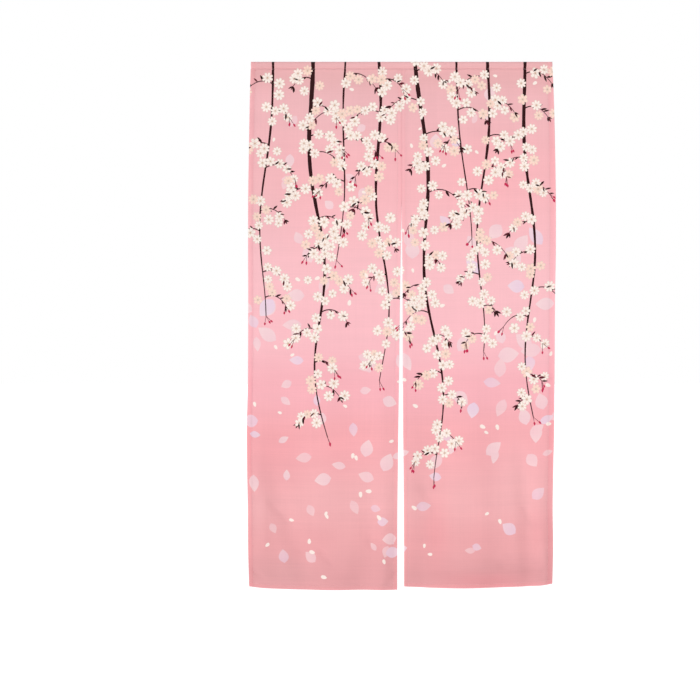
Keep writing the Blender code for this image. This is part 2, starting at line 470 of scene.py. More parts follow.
class CurtainSizes(bpy.types.PropertyGroup):
    fineness: length("Fineness", "Spacing of the cloth's points", 0.0084, 0.003, 0.03)
    cloth: length("Cloth", "Thickness of one layer of cloth", 0.0005, 0.0003, 0.001)
    hem_layer: length("Hem layer", "What a turned hem adds behind", 0.0005, 0.0002, 0.001)
    stitch: length("Stitch", "Length of one stitch", 0.0029, 0.002, 0.006)
    stitch_pitch: length("Stitch pitch", "From one stitch to the next", 0.0037, 0.0025, 0.008)
    thread: length("Thread", "Radius of the sewing thread", 0.00024, 0.0001, 0.0005)
    weave: length("Weave", "From one thread of the cloth to the next", 0.00095, 0.0005, 0.002)
    blossom: length("Blossom", "Width of the widest blossoms", 0.034, 0.02, 0.05)


class CurtainColours(bpy.types.PropertyGroup):
    # The ground colours, top to foot, are a dyed fade with painted shade near the casing and
    # the foot
    top: colour("Top", "Ground along the casing's top edge", 228, 173, 175)
    yoke: colour("Yoke", "Ground just below the casing", 224, 169, 171)
    upper: colour("Upper", "Ground a hand below the casing", 230, 175, 179)
    chest: colour("Chest", "Ground above the end of the seam", 237, 176, 181)
    middle: colour("Middle", "Ground just above half way down", 240, 184, 190)
    waist: colour("Waist", "Ground at half way down", 240, 182, 189)
    hip: colour("Hip", "Ground below half way down", 238, 172, 180)
    lower: colour("Lower", "Ground where the stems end", 236, 166, 171)
    knee: colour("Knee", "Ground a forearm above the foot", 231, 169, 172)
    shin: colour("Shin", "Ground a hand above the foot", 226, 160, 163)
    foot: colour("Foot", "Ground at the bottom hem", 219, 155, 158)
    cream: colour("Cream", "Petals of most blossoms, and the seeds", 242, 229, 221)
    peach: colour("Peach", "Petals of the tinted blossoms", 242, 208, 193)
    warm: colour("Warm cream", "Rims and folds of the petals", 218, 200, 186)
    heart: colour("Heart", "Heart of a blossom", 203, 163, 140)
    bark: colour("Bark", "Stems, twigs and leaves", 42, 2, 6)
    wine: colour("Wine", "Lighter leaves and stalks", 88, 22, 36)
    bud: colour("Bud", "Buds", 189, 42, 80)
    blush: colour("Blush", "Pale leaves that drift", 233, 200, 206)
    lilac: colour("Lilac", "Bluer pale leaves that drift", 224, 201, 219)
    thread: colour("Thread", "Sewing thread", 242, 212, 212)
    floor: colour("Floor", "Studio floor", 166, 166, 165)


class CurtainStage(bpy.types.PropertyGroup):
    lens: FloatProperty(name="Lens", description="Focal length", default=70.03, unit="CAMERA")
    distance: length("Distance", "From the camera to the cloth", 3.84, 1.0, 10.0)
    aim_x: length("Aim across", "Where the camera looks, across", -0.1454, -1.0, 1.0)
    aim_z: length("Aim up", "Where the camera looks, up", -0.8127, -2.0, 1.0)
    floor_z: length("Floor", "Height of the floor", -1.92, -4.0, -1.6)
    sky: FloatProperty(name="Sky", description="Soft light from all round", default=0.25)
    key: FloatProperty(name="Key", description="Main soft light", default=2.05)
    fill: FloatProperty(name="Fill", description="Light on the back", default=1.1)
    glow: FloatProperty(name="Glow", description="Light of the floor", default=0.82)


def ease(value, low, high):
    """0 at low and 1 at high, with no kink at either."""
    share = min(max((value - low) / (high - low), 0.0), 1.0)
    return share * share * (3.0 - 2.0 * share)


def bump(offset):
    """1 at the middle and 0 from offset 1 outwards, round on top and level at its foot."""
    if abs(offset) >= 1.0:
        return 0.0
    return 0.5 * (1.0 + math.cos(math.pi * offset))


def read_table(rows, column, at):
    """The named column's value between the table's rows, on a smooth curve that never
    runs past the rows' own values."""
    places = [row[0] for row in rows]
    values = [getattr(row, column) for row in rows]
    if at <= places[0]:
        return values[0]
    if at >= places[-1]:
        return values[-1]
    low = max(i for i, place in enumerate(places) if place <= at)
    high = low + 1

    def secant(i):
        return (values[i + 1] - values[i]) / (places[i + 1] - places[i])

    def slope(i):
        before = secant(max(i - 1, 0))
        after = secant(min(i, len(rows) - 2))
        return 2 * before * after / (before + after) if before * after > 0 else 0.0

    run = places[high] - places[low]
    t = (at - places[low]) / run
    start = values[low] * (1 + 2 * t) * (1 - t) ** 2 + slope(low) * run * t * (1 - t) ** 2
    finish = values[high] * t * t * (3 - 2 * t) + slope(high) * run * t * t * (t - 1)
    return start + finish


def fold_depth(folds, x, drop):
    total = 0.0
    for fold in folds:
        line = fold.x - fold.lean * (fold.deepest - drop)
        growth = ease(drop, fold.top, fold.deepest) * (1.0 - ease(drop, fold.deepest, fold.end))
        total += fold.depth * growth * bump((x - line) / fold.half_width)
    return total


def mound(row, x, drop):
    """A swell's or a shade's share at a place: 1 at its middle and 0 past its edge."""
    return bump((x - row.x) / row.half_width) * bump((drop - row.drop) / row.half_height)


def swell_depth(x, drop):
    return sum(swell.depth * mound(swell, x, drop) for swell in SWELLS)


def crease_depth(x, drop):
    """Soft dents and ridges, each fading away from its own line and past its ends."""
    total = 0.0
    for crease in CREASES:
        run = Vector((crease.x2 - crease.x1, crease.drop2 - crease.drop1))
        here = Vector((x - crease.x1, drop - crease.drop1))
        share = min(max(here.dot(run) / run.length_squared, 0.0), 1.0)
        away = (here - run * share).length
        total += crease.depth * bump(away / crease.half_width)
    return total


def shade_of(x, drop):
    """How much brighter and how much redder the cloth is painted at a place: painted shade in
    the creases' dents, painted light on their ridges, and the patches of painted light, shade
    and uneven dye.
    """
    change, rich = CREASE_LIGHT_AND_SHADE * crease_depth(x, drop), 0.0
    for shade in SHADE_AND_DYE_PATCHES:
        share = mound(shade, x, drop)
        change += shade.change * share
        rich += shade.rich * share
    return change, rich


def cloud(x, drop, across, down, plane):
    """A soft random value that changes so many times a metre across and down."""
    return noise.noise(Vector((x * across, drop * down, plane)))


def unevenness(x, drop):
    """The slow drift and the finer crumple of a cloth that has been folded and hung."""
    total = DRIFT_DEPTH * cloud(x, drop, *DRIFT_CLOUD)
    total += CRUMPLE_DEPTH * cloud(x, drop, *CRUMPLE_CLOUD)
    return total * ease(drop, PANEL_TOP, EVEN_ABOVE)


def sewn_relief(away, along):
    """The groove of a stitched line, and the small puckers that its thread draws in."""
    groove = -GROOVE_DEPTH * bump(away / GROOVE_HALF)
    beat = math.sin(2 * math.pi * along / PUCKER_LENGTH)
    beat += BEAT_SHARE * math.sin(2 * math.pi * along / PUCKER_BEAT + BEAT_SHIFT)
    return groove + PUCKER_DEPTH * beat * bump(away / PUCKER_REACH)


def hem_widths(panel):
    """How much of a panel is turned in at its outer edge, slit edge and foot."""
    return panel.outer_hem, SLIT_HEM, BOTTOM_HEM


def stitch_lines(panel):
    """How far in from the outer edge, the slit edge and the foot a panel is stitched."""
    return [width - STITCH_INSET for width in hem_widths(panel)]


def insets(u, v):
    """How far a flat point lies in from its panel's outer edge, slit edge and foot."""
    return PANEL_WIDTH - abs(u), abs(u), PANEL_FOOT + v


def panel_relief(panel, u, v):
    """Everything that stands out of the folds: seam ridge, grooves and puckers."""
    runs = (v, v + SLIT_SHIFT, u)
    total = sewn_relief(-v - PANEL_TOP, u)
    for inset, line, along in zip(insets(u, v), stitch_lines(panel), runs):
        total += sewn_relief(inset - line, along)
    joined = 1.0 - ease(-v, *RELIEF_END)
    if panel.side == "right":
        band = 1.0 - ease(u, RIDGE_WIDTH - RIDGE_FADE, RIDGE_WIDTH)
        height = RIDGE_HEIGHT * (RIDGE_BELOW + (1.0 - RIDGE_BELOW) * joined)
        return total + height * band * ease(-v, PANEL_TOP, RIDGE_FULL)
    return total - SUNK_DEPTH * joined * bump(u / RIDGE_WIDTH)


def panel_place(panel, u, v):
    """X and drop at which a flat point of a panel hangs."""
    share = 1.0 - abs(u) / PANEL_WIDTH
    foot = read_table(HEM_LINE, panel.side, share) - EDGE_ROUND
    drop = PANEL_HIGH + (foot - PANEL_HIGH) * (-v - PANEL_HIGH) / (PANEL_FOOT - PANEL_HIGH)
    outer = read_table(LEVELS, panel.side + "_outer", drop) - panel.sign * EDGE_ROUND
    slit = read_table(LEVELS, panel.side + "_slit", drop) + panel.sign * (GAP / 2 + EDGE_ROUND)
    if panel.side == "left":
        slit += LAP * (1.0 - ease(drop, *LAP_END))
    return outer + (slit - outer) * share, drop


def hem_richness(panel, u, v):
    """How much redder the cloth looks where turned hems lie behind it, 0 off the hems."""
    rows = zip(insets(u, v), hem_widths(panel), HEM_RICH)
    return sum(rich * (inset < width) for inset, width, rich in rows)


def hem_depth(panel, u, v):
    """How many layers the turned hems add, with a short slope down to the plain cloth."""
    rows = zip(insets(u, v), hem_widths(panel))
    return sum(1.0 - ease(inset, width, width + HEM_STEP) for inset, width in rows)


def panel_surface(panel, sizes):
    """A function from a flat point to its front and back places on the hung panel."""
    folds = LEFT_FOLDS if panel.side == "left" else RIGHT_FOLDS

    def surface(u, v):
        x, drop = panel_place(panel, u, v)
        depth = fold_depth(RIPPLES + folds, x, drop)
        depth += swell_depth(x, drop) + crease_depth(x, drop) + unevenness(x, drop)
        front = -depth - FRONT_STAND - panel_relief(panel, u, v)
        behind = front + sizes.cloth + sizes.hem_layer * hem_depth(panel, u, v)
        return Vector((x, front, -drop)), Vector((x, behind, -drop))

    return surface


def casing_x(u):
    """The casing is a little narrower than its flat cloth is drawn, which has the panels'
    own width so that the print runs on."""
    return u * (CASING_WIDTH / 2 - EDGE_ROUND) / PANEL_WIDTH


def casing_surface(sizes):
    """A function from a flat point to its outer and inner places on the casing. v runs
    over the casing's top edge: below 0 is the front, and above 0 is the back."""
    half_height, half_depth = LOOP_HEIGHT / 2, LOOP_DEPTH / 2

    def stand(x, drop):
        fuller = sum(p.depth * bump((x - p.x) / p.half_width) for p in PUCKERS)
        across = 1.0 - ((drop - half_height) / half_height) ** 2
        loop = (half_depth + fuller) * math.sqrt(max(across, 0.0))
        lip = LIP_DEPTH / 2 * ease(drop, half_height, LOOP_HEIGHT)
        return math.hypot(loop, lip) + sewn_relief(drop - LOOP_HEIGHT, x)

    def surface(u, v):
        x = casing_x(u)
        drop = abs(v)
        side = -1.0 if v < 0 else 1.0
        out = stand(x, drop)
        within = max(out - sizes.cloth, LEAST_HOLLOW)
        rounded = max(1.0 - out / half_depth, 0.0) if drop < half_height else 0.0
        inside = Vector((x, side * within, -drop - sizes.cloth * math.sqrt(rounded)))
        return Vector((x, side * out, -drop)), inside

    return surface


def spaced(start, end, fixed, step):
    """Rising values from start to end that hold every fixed one, with even gaps between."""
    marks = sorted({start, end, *fixed})
    values = [marks[0]]
    for low, high in zip(marks, marks[1:]):
        parts = max(1, round((high - low) / step))
        values += [low + (high - low) * i / parts for i in range(1, parts + 1)]
    return values


def placed(shape, x, v, angle):
    """A shape that is turned about the origin and then moved to its place."""
    level, rise = math.cos(angle), math.sin(angle)
    return [(x + (a * level - b * rise), v + (a * rise + b * level)) for a, b in shape]


def leaf_shape(long, wide, points=5):
    """A leaf from its stalk at the origin to its tip, pointed at both ends."""
    upper = []
    for i in range(points + 1):
        share = i / points
        upper.append((long * share, wide / 2 * math.sin(math.pi * share ** 0.85) ** 0.9))
    return [(a, -b) for a, b in upper[1:-1]] + [upper[-1]] + upper[-2:0:-1] + [upper[0]]


def egg_shape(long, wide, points=11):
    """A smooth egg about the origin, its blunt end towards +x."""
    ring = []
    for i in range(points):
        angle = 2 * math.pi * i / points
        wider = 1.0 + 0.22 * math.cos(angle)
        ring.append((long / 2 * math.cos(angle), wide / 2 * math.sin(angle) * wider))
    return ring


def ring_shape(reach, count, turns):
    """A closed ring of like parts, each through (share of the part, share of the reach)."""
    ring = []
    for i in range(count):
        for turn, share in turns:
            angle = 2 * math.pi / count * (i + turn)
            ring.append((reach * share * math.cos(angle), reach * share * math.sin(angle)))
    return ring


def rosette_shape(reach, petals, valley):
    """A ring of round petals, whose valleys lie at a share of the reach."""
    return ring_shape(reach, petals, ((0.0, valley), (0.22, 0.92), (0.5, 1.0), (0.78, 0.92)))


def star_shape(reach, points):
    """Thin rays that run out between the petals of a rosette."""
    return ring_shape(reach, points, ((0.0, 1.0), (0.5, 0.30)))


def ribbon_shape(path, widths):
    """A band along a path, with its own width at each point."""
    left, right = [], []
    for i, here in enumerate(path):
        before = path[max(i - 1, 0)]
        after = path[min(i + 1, len(path) - 1)]
        run = Vector((after[0] - before[0], after[1] - before[1])).normalized()
        side = Vector((-run.y, run.x)) * widths[i] / 2
        left.append((here[0] + side.x, here[1] + side.y))
        right.append((here[0] - side.x, here[1] - side.y))
    return right + left[::-1]


def stem_point(garland, t):
    """A stem's place at share t of the way down it; t below 0 runs up over the casing."""
    swing = garland.sway * (SWAY_AT_TOP + (1.0 - SWAY_AT_TOP) * t)
    swing *= math.sin(2 * math.pi * garland.waves * t + garland.phase)
    return garland.x + garland.lean * t + swing, -garland.length * t


def arch(start, side, reach, q):
    """A twig that leaves its stem upwards and droops at its end."""
    across, up = (rise * q - droop * q * q for rise, droop in (ARCH_OUT, ARCH_UP))
    return start[0] + side * reach * across, start[1] + reach * up


class PrintMaker:
    """Draws the blossom print as flat outlines, the lowest layer first."""

    def __init__(self, settings):
        self.colours, self.sizes = settings.colours, settings.sizes
        self.chance = random.Random(PRINT_SEED)
        self.between, self.pick = self.chance.uniform, self.chance.choice
        self.pale, self.wood, self.under, self.blossoms, self.over = [], [], [], [], []
        self.hearts = []

    def often(self, share):
        return self.chance.random() < share

    def ink(self, name):
        return tuple(getattr(self.colours, name))

    def flat_ink(self, layer, outline, name, cover=1.0):
        shade = self.ink(name)
        layer.append(Motif(outline, outline[0], 1.0, shade, shade, cover))

    def strewn(self, bands, shortest):
        """A random place and length for each thing that drifts in the bands."""
        for band in bands:
            for _ in range(band.count):
                x = self.between(-PANEL_WIDTH, PANEL_WIDTH)
                drop = self.between(band.high, band.low)
                yield band, x, -drop, self.between(shortest, 1.0) * band.longest

    def drift(self):
        """Pale see-through leaves behind everything, and small cream seeds over it."""
        for band, x, v, long in self.strewn(PALE_LEAVES, 0.55):
            shape = leaf_shape(long, long * self.between(0.52, 0.78), 7)
            outline = placed(shape, x, v, self.between(0, 2 * math.pi))
            shade = self.ink("lilac" if self.often(0.38) else "blush")
            paler = tuple(0.72 * a + 0.28 * b for a, b in zip(shade, self.ink("cream")))
            cover = self.between(0.62, 0.92) * band.cover
            self.pale.append(Motif(outline, (x, v), long, shade, paler, cover))
        for band, x, v, long in self.strewn(SEEDS, 0.7):
            outline = placed(egg_shape(long, long * 0.62), x, v, self.between(0, 2 * math.pi))
            self.flat_ink(self.over, outline, "cream", band.cover)

    def leaf(self, x, v, angle):
        long = self.between(0.012, 0.021)
        shape = leaf_shape(long, long * self.between(0.26, 0.36))
        layer = self.over if self.often(0.35) else self.under
        self.flat_ink(layer, placed(shape, x, v, angle), "wine" if self.often(0.3) else "bark")

    def blossom(self, x, v):
        """One rosette with an inner ring and a heart, unless others are too near."""
        reach = self.sizes.blossom / 2 * self.between(0.78, 1.0)
        for other_x, other_v, other in self.hearts:
            if math.hypot(x - other_x, v - other_v) < BLOSSOM_SPACING * (reach + other):
                return
        self.hearts.append((x, v, reach))
        petal = "peach" if self.often(0.2) else "cream"
        angle = self.between(0, math.pi)
        petals = 8 if self.often(0.75) else 6
        for shape, name, cover in (
            (rosette_shape(reach, petals, 0.58), "warm", PETAL_COVER),
            (rosette_shape(reach * 0.91, petals, 0.56), petal, PETAL_COVER),
            (star_shape(reach * 0.60, petals), "warm", PETAL_COVER),
            (egg_shape(reach * 0.30, reach * 0.28, 7), "heart", HEART_COVER),
        ):
            self.flat_ink(self.blossoms, placed(shape, x, v, angle), name, cover)

    def blossom_near(self, x, v, across, up):
        self.blossom(x + self.between(-across, across), v + self.between(-up, up))

    def buds(self, x, v, side):
        """Two or three buds that hang from one point, each on its own stalk."""
        for _ in range(self.pick((2, 2, 3))):
            angle = -math.pi / 2 + side * self.between(-0.2, 0.9)
            stalk = self.between(0.012, 0.022)
            end = (x + stalk * math.cos(angle), v + stalk * math.sin(angle))
            self.flat_ink(self.over, ribbon_shape([(x, v), end], [STALK_WIDTH] * 2), "wine")
            shape = leaf_shape(self.between(0.0095, 0.0125), BUD_WIDTH)
            self.flat_ink(self.over, placed(shape, *end, angle), "bud")

    def twig(self, start, side, reach):
        """A twig with leaves and blossoms along it, and buds or leaves at its end."""
        shares = [i / TWIG_STEPS for i in range(TWIG_STEPS + 1)]
        path = [arch(start, side, reach, q) for q in shares]
        widths = [TWIG_WIDTH - TWIG_TAPER * q for q in shares]
        self.flat_ink(self.wood, ribbon_shape(path, widths), "bark")
        for i in TWIG_LEAVES:
            x, v = path[i]
            along = math.atan2(v - path[i - 1][1], x - path[i - 1][0])
            if self.often(0.75):
                self.leaf(x, v, along + self.pick((-1, 1)) * self.between(0.4, 1.0))
            if self.often(TWIG_BLOSSOMS):
                self.blossom_near(x, v, TWIG_SPREAD, TWIG_SPREAD)
        x, v = path[-1]
        if self.often(0.5):
            self.buds(x, v, side)
        else:
            for turn in (-0.6, 0.0, 0.6):
                self.leaf(x, v, -math.pi / 2 + side * 0.5 + turn)

    def garland(self, garland):
        """A stem from over the casing's top edge to its tip, with twigs to either side."""
        steps = max(12, round(garland.length / STEM_STEP))
        over_top = -(LOOP_HEIGHT + 2 * LIP_HEIGHT) / garland.length
        shares = [over_top + (1.0 - over_top) * i / steps for i in range(steps + 1)]
        taper = STEM_TIP - garland.width
        widths = [
            (garland.width + taper * max(t, 0.0) ** STEM_TAPER) * self.between(0.84, 1.16)
            for t in shares
        ]
        path, smooth = [stem_point(garland, shares[0])], widths[:1]
        for t, next_t, wide, next_wide in zip(shares, shares[1:], widths, widths[1:]):
            path += [stem_point(garland, (t + next_t) / 2), stem_point(garland, next_t)]
            smooth += [(wide + next_wide) / 2, next_wide]
        self.flat_ink(self.wood, ribbon_shape(path, smooth), "bark")
        side = self.pick((-1, 1))
        for i in range(garland.twigs):
            t = (i + 0.45 + self.between(-0.25, 0.25)) / garland.twigs
            start = stem_point(garland, t)
            self.twig(start, side, self.between(0.045, 0.095) * (1.15 - 0.45 * t))
            for _ in range(self.pick((2, 3, 4, 5))):
                self.blossom_near(*start, STEM_SPREAD, 1.4 * STEM_SPREAD)
            side = -side if self.often(0.8) else side
        self.buds(*path[-1], side)

    def spray(self, spray):
        """Blossoms crowded round one place of a stem, closer together near its middle."""
        x, v = stem_point(GARLANDS[spray.stem], spray.share)
        for _ in range(spray.count):
            angle = self.between(0, 2 * math.pi)
            away = spray.reach * self.between(0, 1) ** 0.7
            self.blossom(x + away * math.cos(angle), v + away * math.sin(angle))

    def motifs(self):
        self.drift()
        for garland in GARLANDS:
            self.garland(garland)
        for spray in SPRAYS:
            self.spray(spray)
        return self.pale + self.wood + self.under + self.blossoms + self.over


def touches(motif, left, right, low, high):
    across = [point[0] for point in motif.outline]
    up = [point[1] for point in motif.outline]
    return max(across) > left and min(across) < right and max(up) > low and min(up) < high


def outward(box, u, v):
    """Which way is out of a sheet at a flat point: 0 inside it, and 1 or -1 at an edge."""
    left, right, low, high = box
    return (u >= right) - (u <= left), (v >= high) - (v <= low)


def cut_flat(box, columns, rows, lines, motifs):
    """A flat cloth cut into triangles along its border, its fold lines and its print."""
    left, right, low, high = box
    points = [(u, low) for u in columns[:-1]] + [(right, v) for v in rows[:-1]]
    points += [(u, high) for u in columns[:0:-1]] + [(left, v) for v in rows[:0:-1]]
    faces = [list(range(len(points)))]
    shown = [motif for motif in motifs if touches(motif, *box)]
    crowded = set()
    cell = (right - left) / len(columns) * CROWDED_SHARE
    for motif in shown:
        faces.append(list(range(len(points), len(points) + len(motif.outline))))
        points += motif.outline
        crowded.update((round(a / cell), round(b / cell)) for a, b in motif.outline)
    edges = []
    for ends in lines:
        edges.append((len(points), len(points) + 1))
        points += ends
    kept_columns = {u for ends in lines for u, _ in ends}
    kept_rows = {v for ends in lines for _, v in ends}
    for u in columns[1:-1]:
        for v in rows[1:-1]:
            busy = (round(u / cell), round(v / cell)) in crowded
            if u in kept_columns or v in kept_rows or not busy:
                points.append((u, v))
    flat, _, cut, _, _, owners = delaunay_2d_cdt(
        [Vector(point) for point in points], edges, faces, 0, CUT_NEAR, True
    )
    inside = [(corners, max(owned)) for corners, owned in zip(cut, owners) if 0 in owned]
    used = sorted({corner for corners, _ in inside for corner in corners})
    new = {old: i for i, old in enumerate(used)}
    triangles = [tuple(new[corner] for corner in corners) for corners, _ in inside]
    tops = [shown[top - 1] if top else None for _, top in inside]
    return Cut(box, [tuple(flat[old]) for old in used], triangles, tops)


def border_of(triangles):
    """The directed edges that only one triangle has, in that triangle's own order, each
    with the triangle's number."""
    owner = {}
    for number, corners in enumerate(triangles):
        for i in range(3):
            owner[corners[i], corners[(i + 1) % 3]] = number
    return [(a, b, n) for (a, b), n in owner.items() if (b, a) not in owner]


def ink_at(motif, point):
    """Colour and cover of a motif at a flat point."""
    if motif is None:
        return (0.0, 0.0, 0.0, 0.0)
    away = math.hypot(point[0] - motif.centre[0], point[1] - motif.centre[1])
    share = min(away / motif.reach, 1.0) ** 1.5
    shade = [a + (b - a) * share for a, b in zip(motif.inner, motif.outer)]
    return (*shade, motif.cover)


def sew_sheet(name, cut, surface, lay, tone):
    """A closed cloth from its flat cut: front, back and a rounded edge between. lay gives
    (richness, reverse) at a flat place, as seen from the front or from behind, and the last
    gives (brightness, richness) there: painted light and shade, with uneven dye."""
    places = [surface(u, v) for u, v in cut.flat]
    count = len(places)
    verts = [front for front, _ in places] + [back for _, back in places]
    border = border_of(cut.triangles)
    folded_over = cut.box[3] > 0
    rim = {}
    for corner in dict.fromkeys(corner for a, b, _ in border for corner in (a, b)):
        rim[corner] = len(verts)
        across, up = outward(cut.box, *cut.flat[corner])
        out = Vector((across, 0.0, -abs(up) if folded_over else up)).normalized()
        front, back = places[corner]
        verts.append((front + back) / 2 + out * EDGE_ROUND)
    faces = cut.triangles + [(c + count, b + count, a + count) for a, b, c in cut.triangles]
    for a, b, _ in border:
        faces.append((b, a, rim[a], rim[b]))
        faces.append((rim[b], rim[a], a + count, b + count))
    mesh = smooth_mesh(name, verts, faces)
    write_layers(mesh, cut, border, lay, [tone(u, v) for u, v in cut.flat])
    return mesh


def smooth_mesh(name, verts, faces):
    mesh = bpy.data.meshes.new(name)
    mesh.from_pydata(verts, [], faces)
    mesh.shade_smooth()
    return mesh


def write_layers(mesh, cut, border, lay, tones):
    """The cloth's flat coordinates, its map for export, its ink and how it is laid."""
    left, right, low, high = cut.box
    flat_uv, bake_uv, ink = [], [], []
    values = {"rich": [], "reverse": [], "tone": []}

    def middle(corners):
        return [sum(cut.flat[c][axis] for c in corners) / len(corners) for axis in (0, 1)]

    def corner(c, motif, behind, centre, out=0.0):
        u, v = cut.flat[c]
        across, up = (out * way for way in outward(cut.box, u, v))
        across += BAKE_EDGE + BAKE_WIDTH * (u - left) / (right - left) + BAKE_BACK * behind
        up += BAKE_EDGE + BAKE_HEIGHT * (v - low) / (high - low)
        hem_rich, from_back = lay(centre, behind)
        bright, rich = tones[c]
        *shade, cover = ink_at(motif, (u, v))
        if behind:
            cover *= SHOW_THROUGH * from_back
        flat_uv.extend((u, v))
        bake_uv.extend((across, up))
        ink.extend((*shade, cover))
        values["rich"].append(hem_rich + rich)
        values["reverse"].append(from_back)
        values["tone"].append(bright)

    for behind in (False, True):
        for corners, motif in zip(cut.triangles, cut.tops):
            for c in reversed(corners) if behind else corners:
                corner(c, motif, behind, middle(corners))
    for a, b, number in border:
        centre = middle(cut.triangles[number])
        for near, far in ((0.0, BAKE_RIM), (BAKE_RIM, 2 * BAKE_RIM)):
            for c, out in ((b, near), (a, near), (a, far), (b, far)):
                corner(c, cut.tops[number], False, centre, out)
    mesh.uv_layers.new(name="flat").data.foreach_set("uv", flat_uv)
    mesh.uv_layers.new(name="OFBake").data.foreach_set("uv", bake_uv)
    mesh.uv_layers["flat"].active_render = True
    inks = mesh.color_attributes.new("ink", "FLOAT_COLOR", "CORNER")
    inks.data.foreach_set("color", ink)
    for name, row in values.items():
        mesh.attributes.new(name, "FLOAT", "CORNER").data.foreach_set("value", row)


def feed(tree, node, sockets):
    """Give a node's sockets their values: another node's output, a colour or a number."""
    for name, value in sockets.items():
        socket = node.inputs[name]
        if isinstance(value, bpy.types.NodeSocket):
            tree.links.new(value, socket)
        elif socket.type == "RGBA":
            socket.default_value = (*value, 1.0)
        else:
            socket.default_value = value


def add_node(tree, kind, sockets=None, **settings):
    """A shader node with its settings made and its sockets fed."""
    node = tree.nodes.new(kind)
    for name, value in settings.items():
        setattr(node, name, value)
    feed(tree, node, sockets or {})
    return node


def mix_colours(tree, share, first, second, **settings):
    sockets = {0: share, 6: first, 7: second}
    return add_node(tree, "ShaderNodeMix", sockets, data_type="RGBA", **settings).outputs[2]


def do_math(tree, operation, *values):
    sockets = dict(enumerate(values))
    return add_node(tree, "ShaderNodeMath", sockets, operation=operation).outputs[0]


def spread_range(tree, value, low, high, new_low, new_high):
    sockets = {"Value": value, "From Min": low, "From Max": high}
    sockets.update({"To Min": new_low, "To Max": new_high})
    return add_node(tree, "ShaderNodeMapRange", sockets).outputs[0]


def noise_value(tree, place, scale, detail):
    sockets = {"Vector": place, "Scale": scale, "Detail": detail}
    return add_node(tree, "ShaderNodeTexNoise", sockets).outputs[0]


def raised_normal(tree, height, strength, distance):
    sockets = {"Height": height, "Strength": strength, "Distance": distance}
    return add_node(tree, "ShaderNodeBump", sockets).outputs[0]


def object_place(tree):
    return add_node(tree, "ShaderNodeTexCoord").outputs["Object"]


def streaks(tree, flat, scale, swing):
    """Long soft streaks along the threads, as a value about 1."""
    mapping = add_node(tree, "ShaderNodeMapping", {"Vector": flat, "Scale": (*scale, 1.0)})
    value = noise_value(tree, mapping.outputs[0], 1.0, 2.0)
    return spread_range(tree, value, 0.3, 0.7, 1.0 - swing, 1.0 + swing)


def weave_height(tree, flat, pitch):
    """Warp and weft threads crossing, 0 in the gaps and 1 on the threads."""
    sockets = {"Vector": flat, "Scale": math.pi / 10 / pitch, "Distortion": 0.6, "Detail": 1.0}
    waves = [
        add_node(tree, "ShaderNodeTexWave", sockets, bands_direction=direction)
        for direction in ("X", "Y")
    ]
    return do_math(tree, "MULTIPLY", *(wave.outputs["Fac"] for wave in waves))


def ground_ramp(tree, colours):
    """The ground, which pales and deepens again from the casing to the foot: partly the dye's
    fade, and partly painted shade near the casing and where the cloth tips back at the foot.
    """
    split = add_node(tree, "ShaderNodeSeparateXYZ", {0: object_place(tree)})
    share = do_math(tree, "MULTIPLY", split.outputs["Z"], -1.0 / PANEL_FOOT)
    ramp = add_node(tree, "ShaderNodeValToRGB", {0: share})
    ramp.color_ramp.interpolation = "EASE"
    elements = ramp.color_ramp.elements
    while len(elements) < len(GROUND):
        elements.new(0.5)
    for element, stop in zip(elements, GROUND):
        element.position = stop.drop / PANEL_FOOT
        element.color = (*getattr(colours, stop.colour), 1.0)
    return ramp.outputs[0]


def new_material(name):
    material = bpy.data.materials.new(name)
    material.use_nodes = True
    return material, material.node_tree, material.node_tree.nodes["Principled BSDF"]


def printed_cloth(settings):
    """Dyed and printed plain weave: ground, streaks, ink, and the paler reverse, all scaled by
    the painted light and shade that each piece carries.
    """
    material, tree, shader = new_material("printed_cloth")
    flat = add_node(tree, "ShaderNodeUVMap", uv_map="flat").outputs[0]
    ink, rich, reverse, tone = (
        add_node(tree, "ShaderNodeAttribute", attribute_name=name).outputs
        for name in ("ink", "rich", "reverse", "tone")
    )
    ground = ground_ramp(tree, settings.colours)
    richer = mix_colours(tree, 1.0, ground, RICHER, blend_type="MULTIPLY")
    ground = mix_colours(tree, rich["Fac"], ground, richer, clamp_factor=False)
    paler = mix_colours(tree, 0.42, ground, PALER)
    ground = mix_colours(tree, reverse["Fac"], ground, paler)
    printed = mix_colours(tree, ink["Alpha"], ground, ink["Color"])
    weft = streaks(tree, flat, (5.0, 330.0), 0.016)
    warp = streaks(tree, flat, (300.0, 3.5), 0.011)
    broad = streaks(tree, flat, (3.0, 26.0), 0.015)
    slub = do_math(tree, "MULTIPLY", do_math(tree, "MULTIPLY", weft, warp), broad)
    threads = weave_height(tree, flat, settings.sizes.weave)
    # The gaps between the threads get painted shade, a little darker than the threads
    gaps = do_math(tree, "MULTIPLY_ADD", threads, 0.05, 0.965)
    shade = do_math(tree, "MULTIPLY", do_math(tree, "MULTIPLY", slub, gaps), tone["Fac"])
    sockets = {0: printed, "Scale": shade}
    shaded = add_node(tree, "ShaderNodeVectorMath", sockets, operation="SCALE")
    height = do_math(tree, "ADD", threads, do_math(tree, "MULTIPLY", slub, 2.0))
    feed(tree, shader, {
        "Base Color": shaded.outputs[0],
        "Normal": raised_normal(tree, height, 0.45, 0.00025),
        "Roughness": spread_range(tree, slub, 0.9, 1.1, 0.78, 0.92),
        "Specular IOR Level": 0.25,
        "Sheen Weight": 0.05,
        "Sheen Roughness": 0.45,
        "Sheen Tint": (1.0, 0.82, 0.85),
    })
    return material


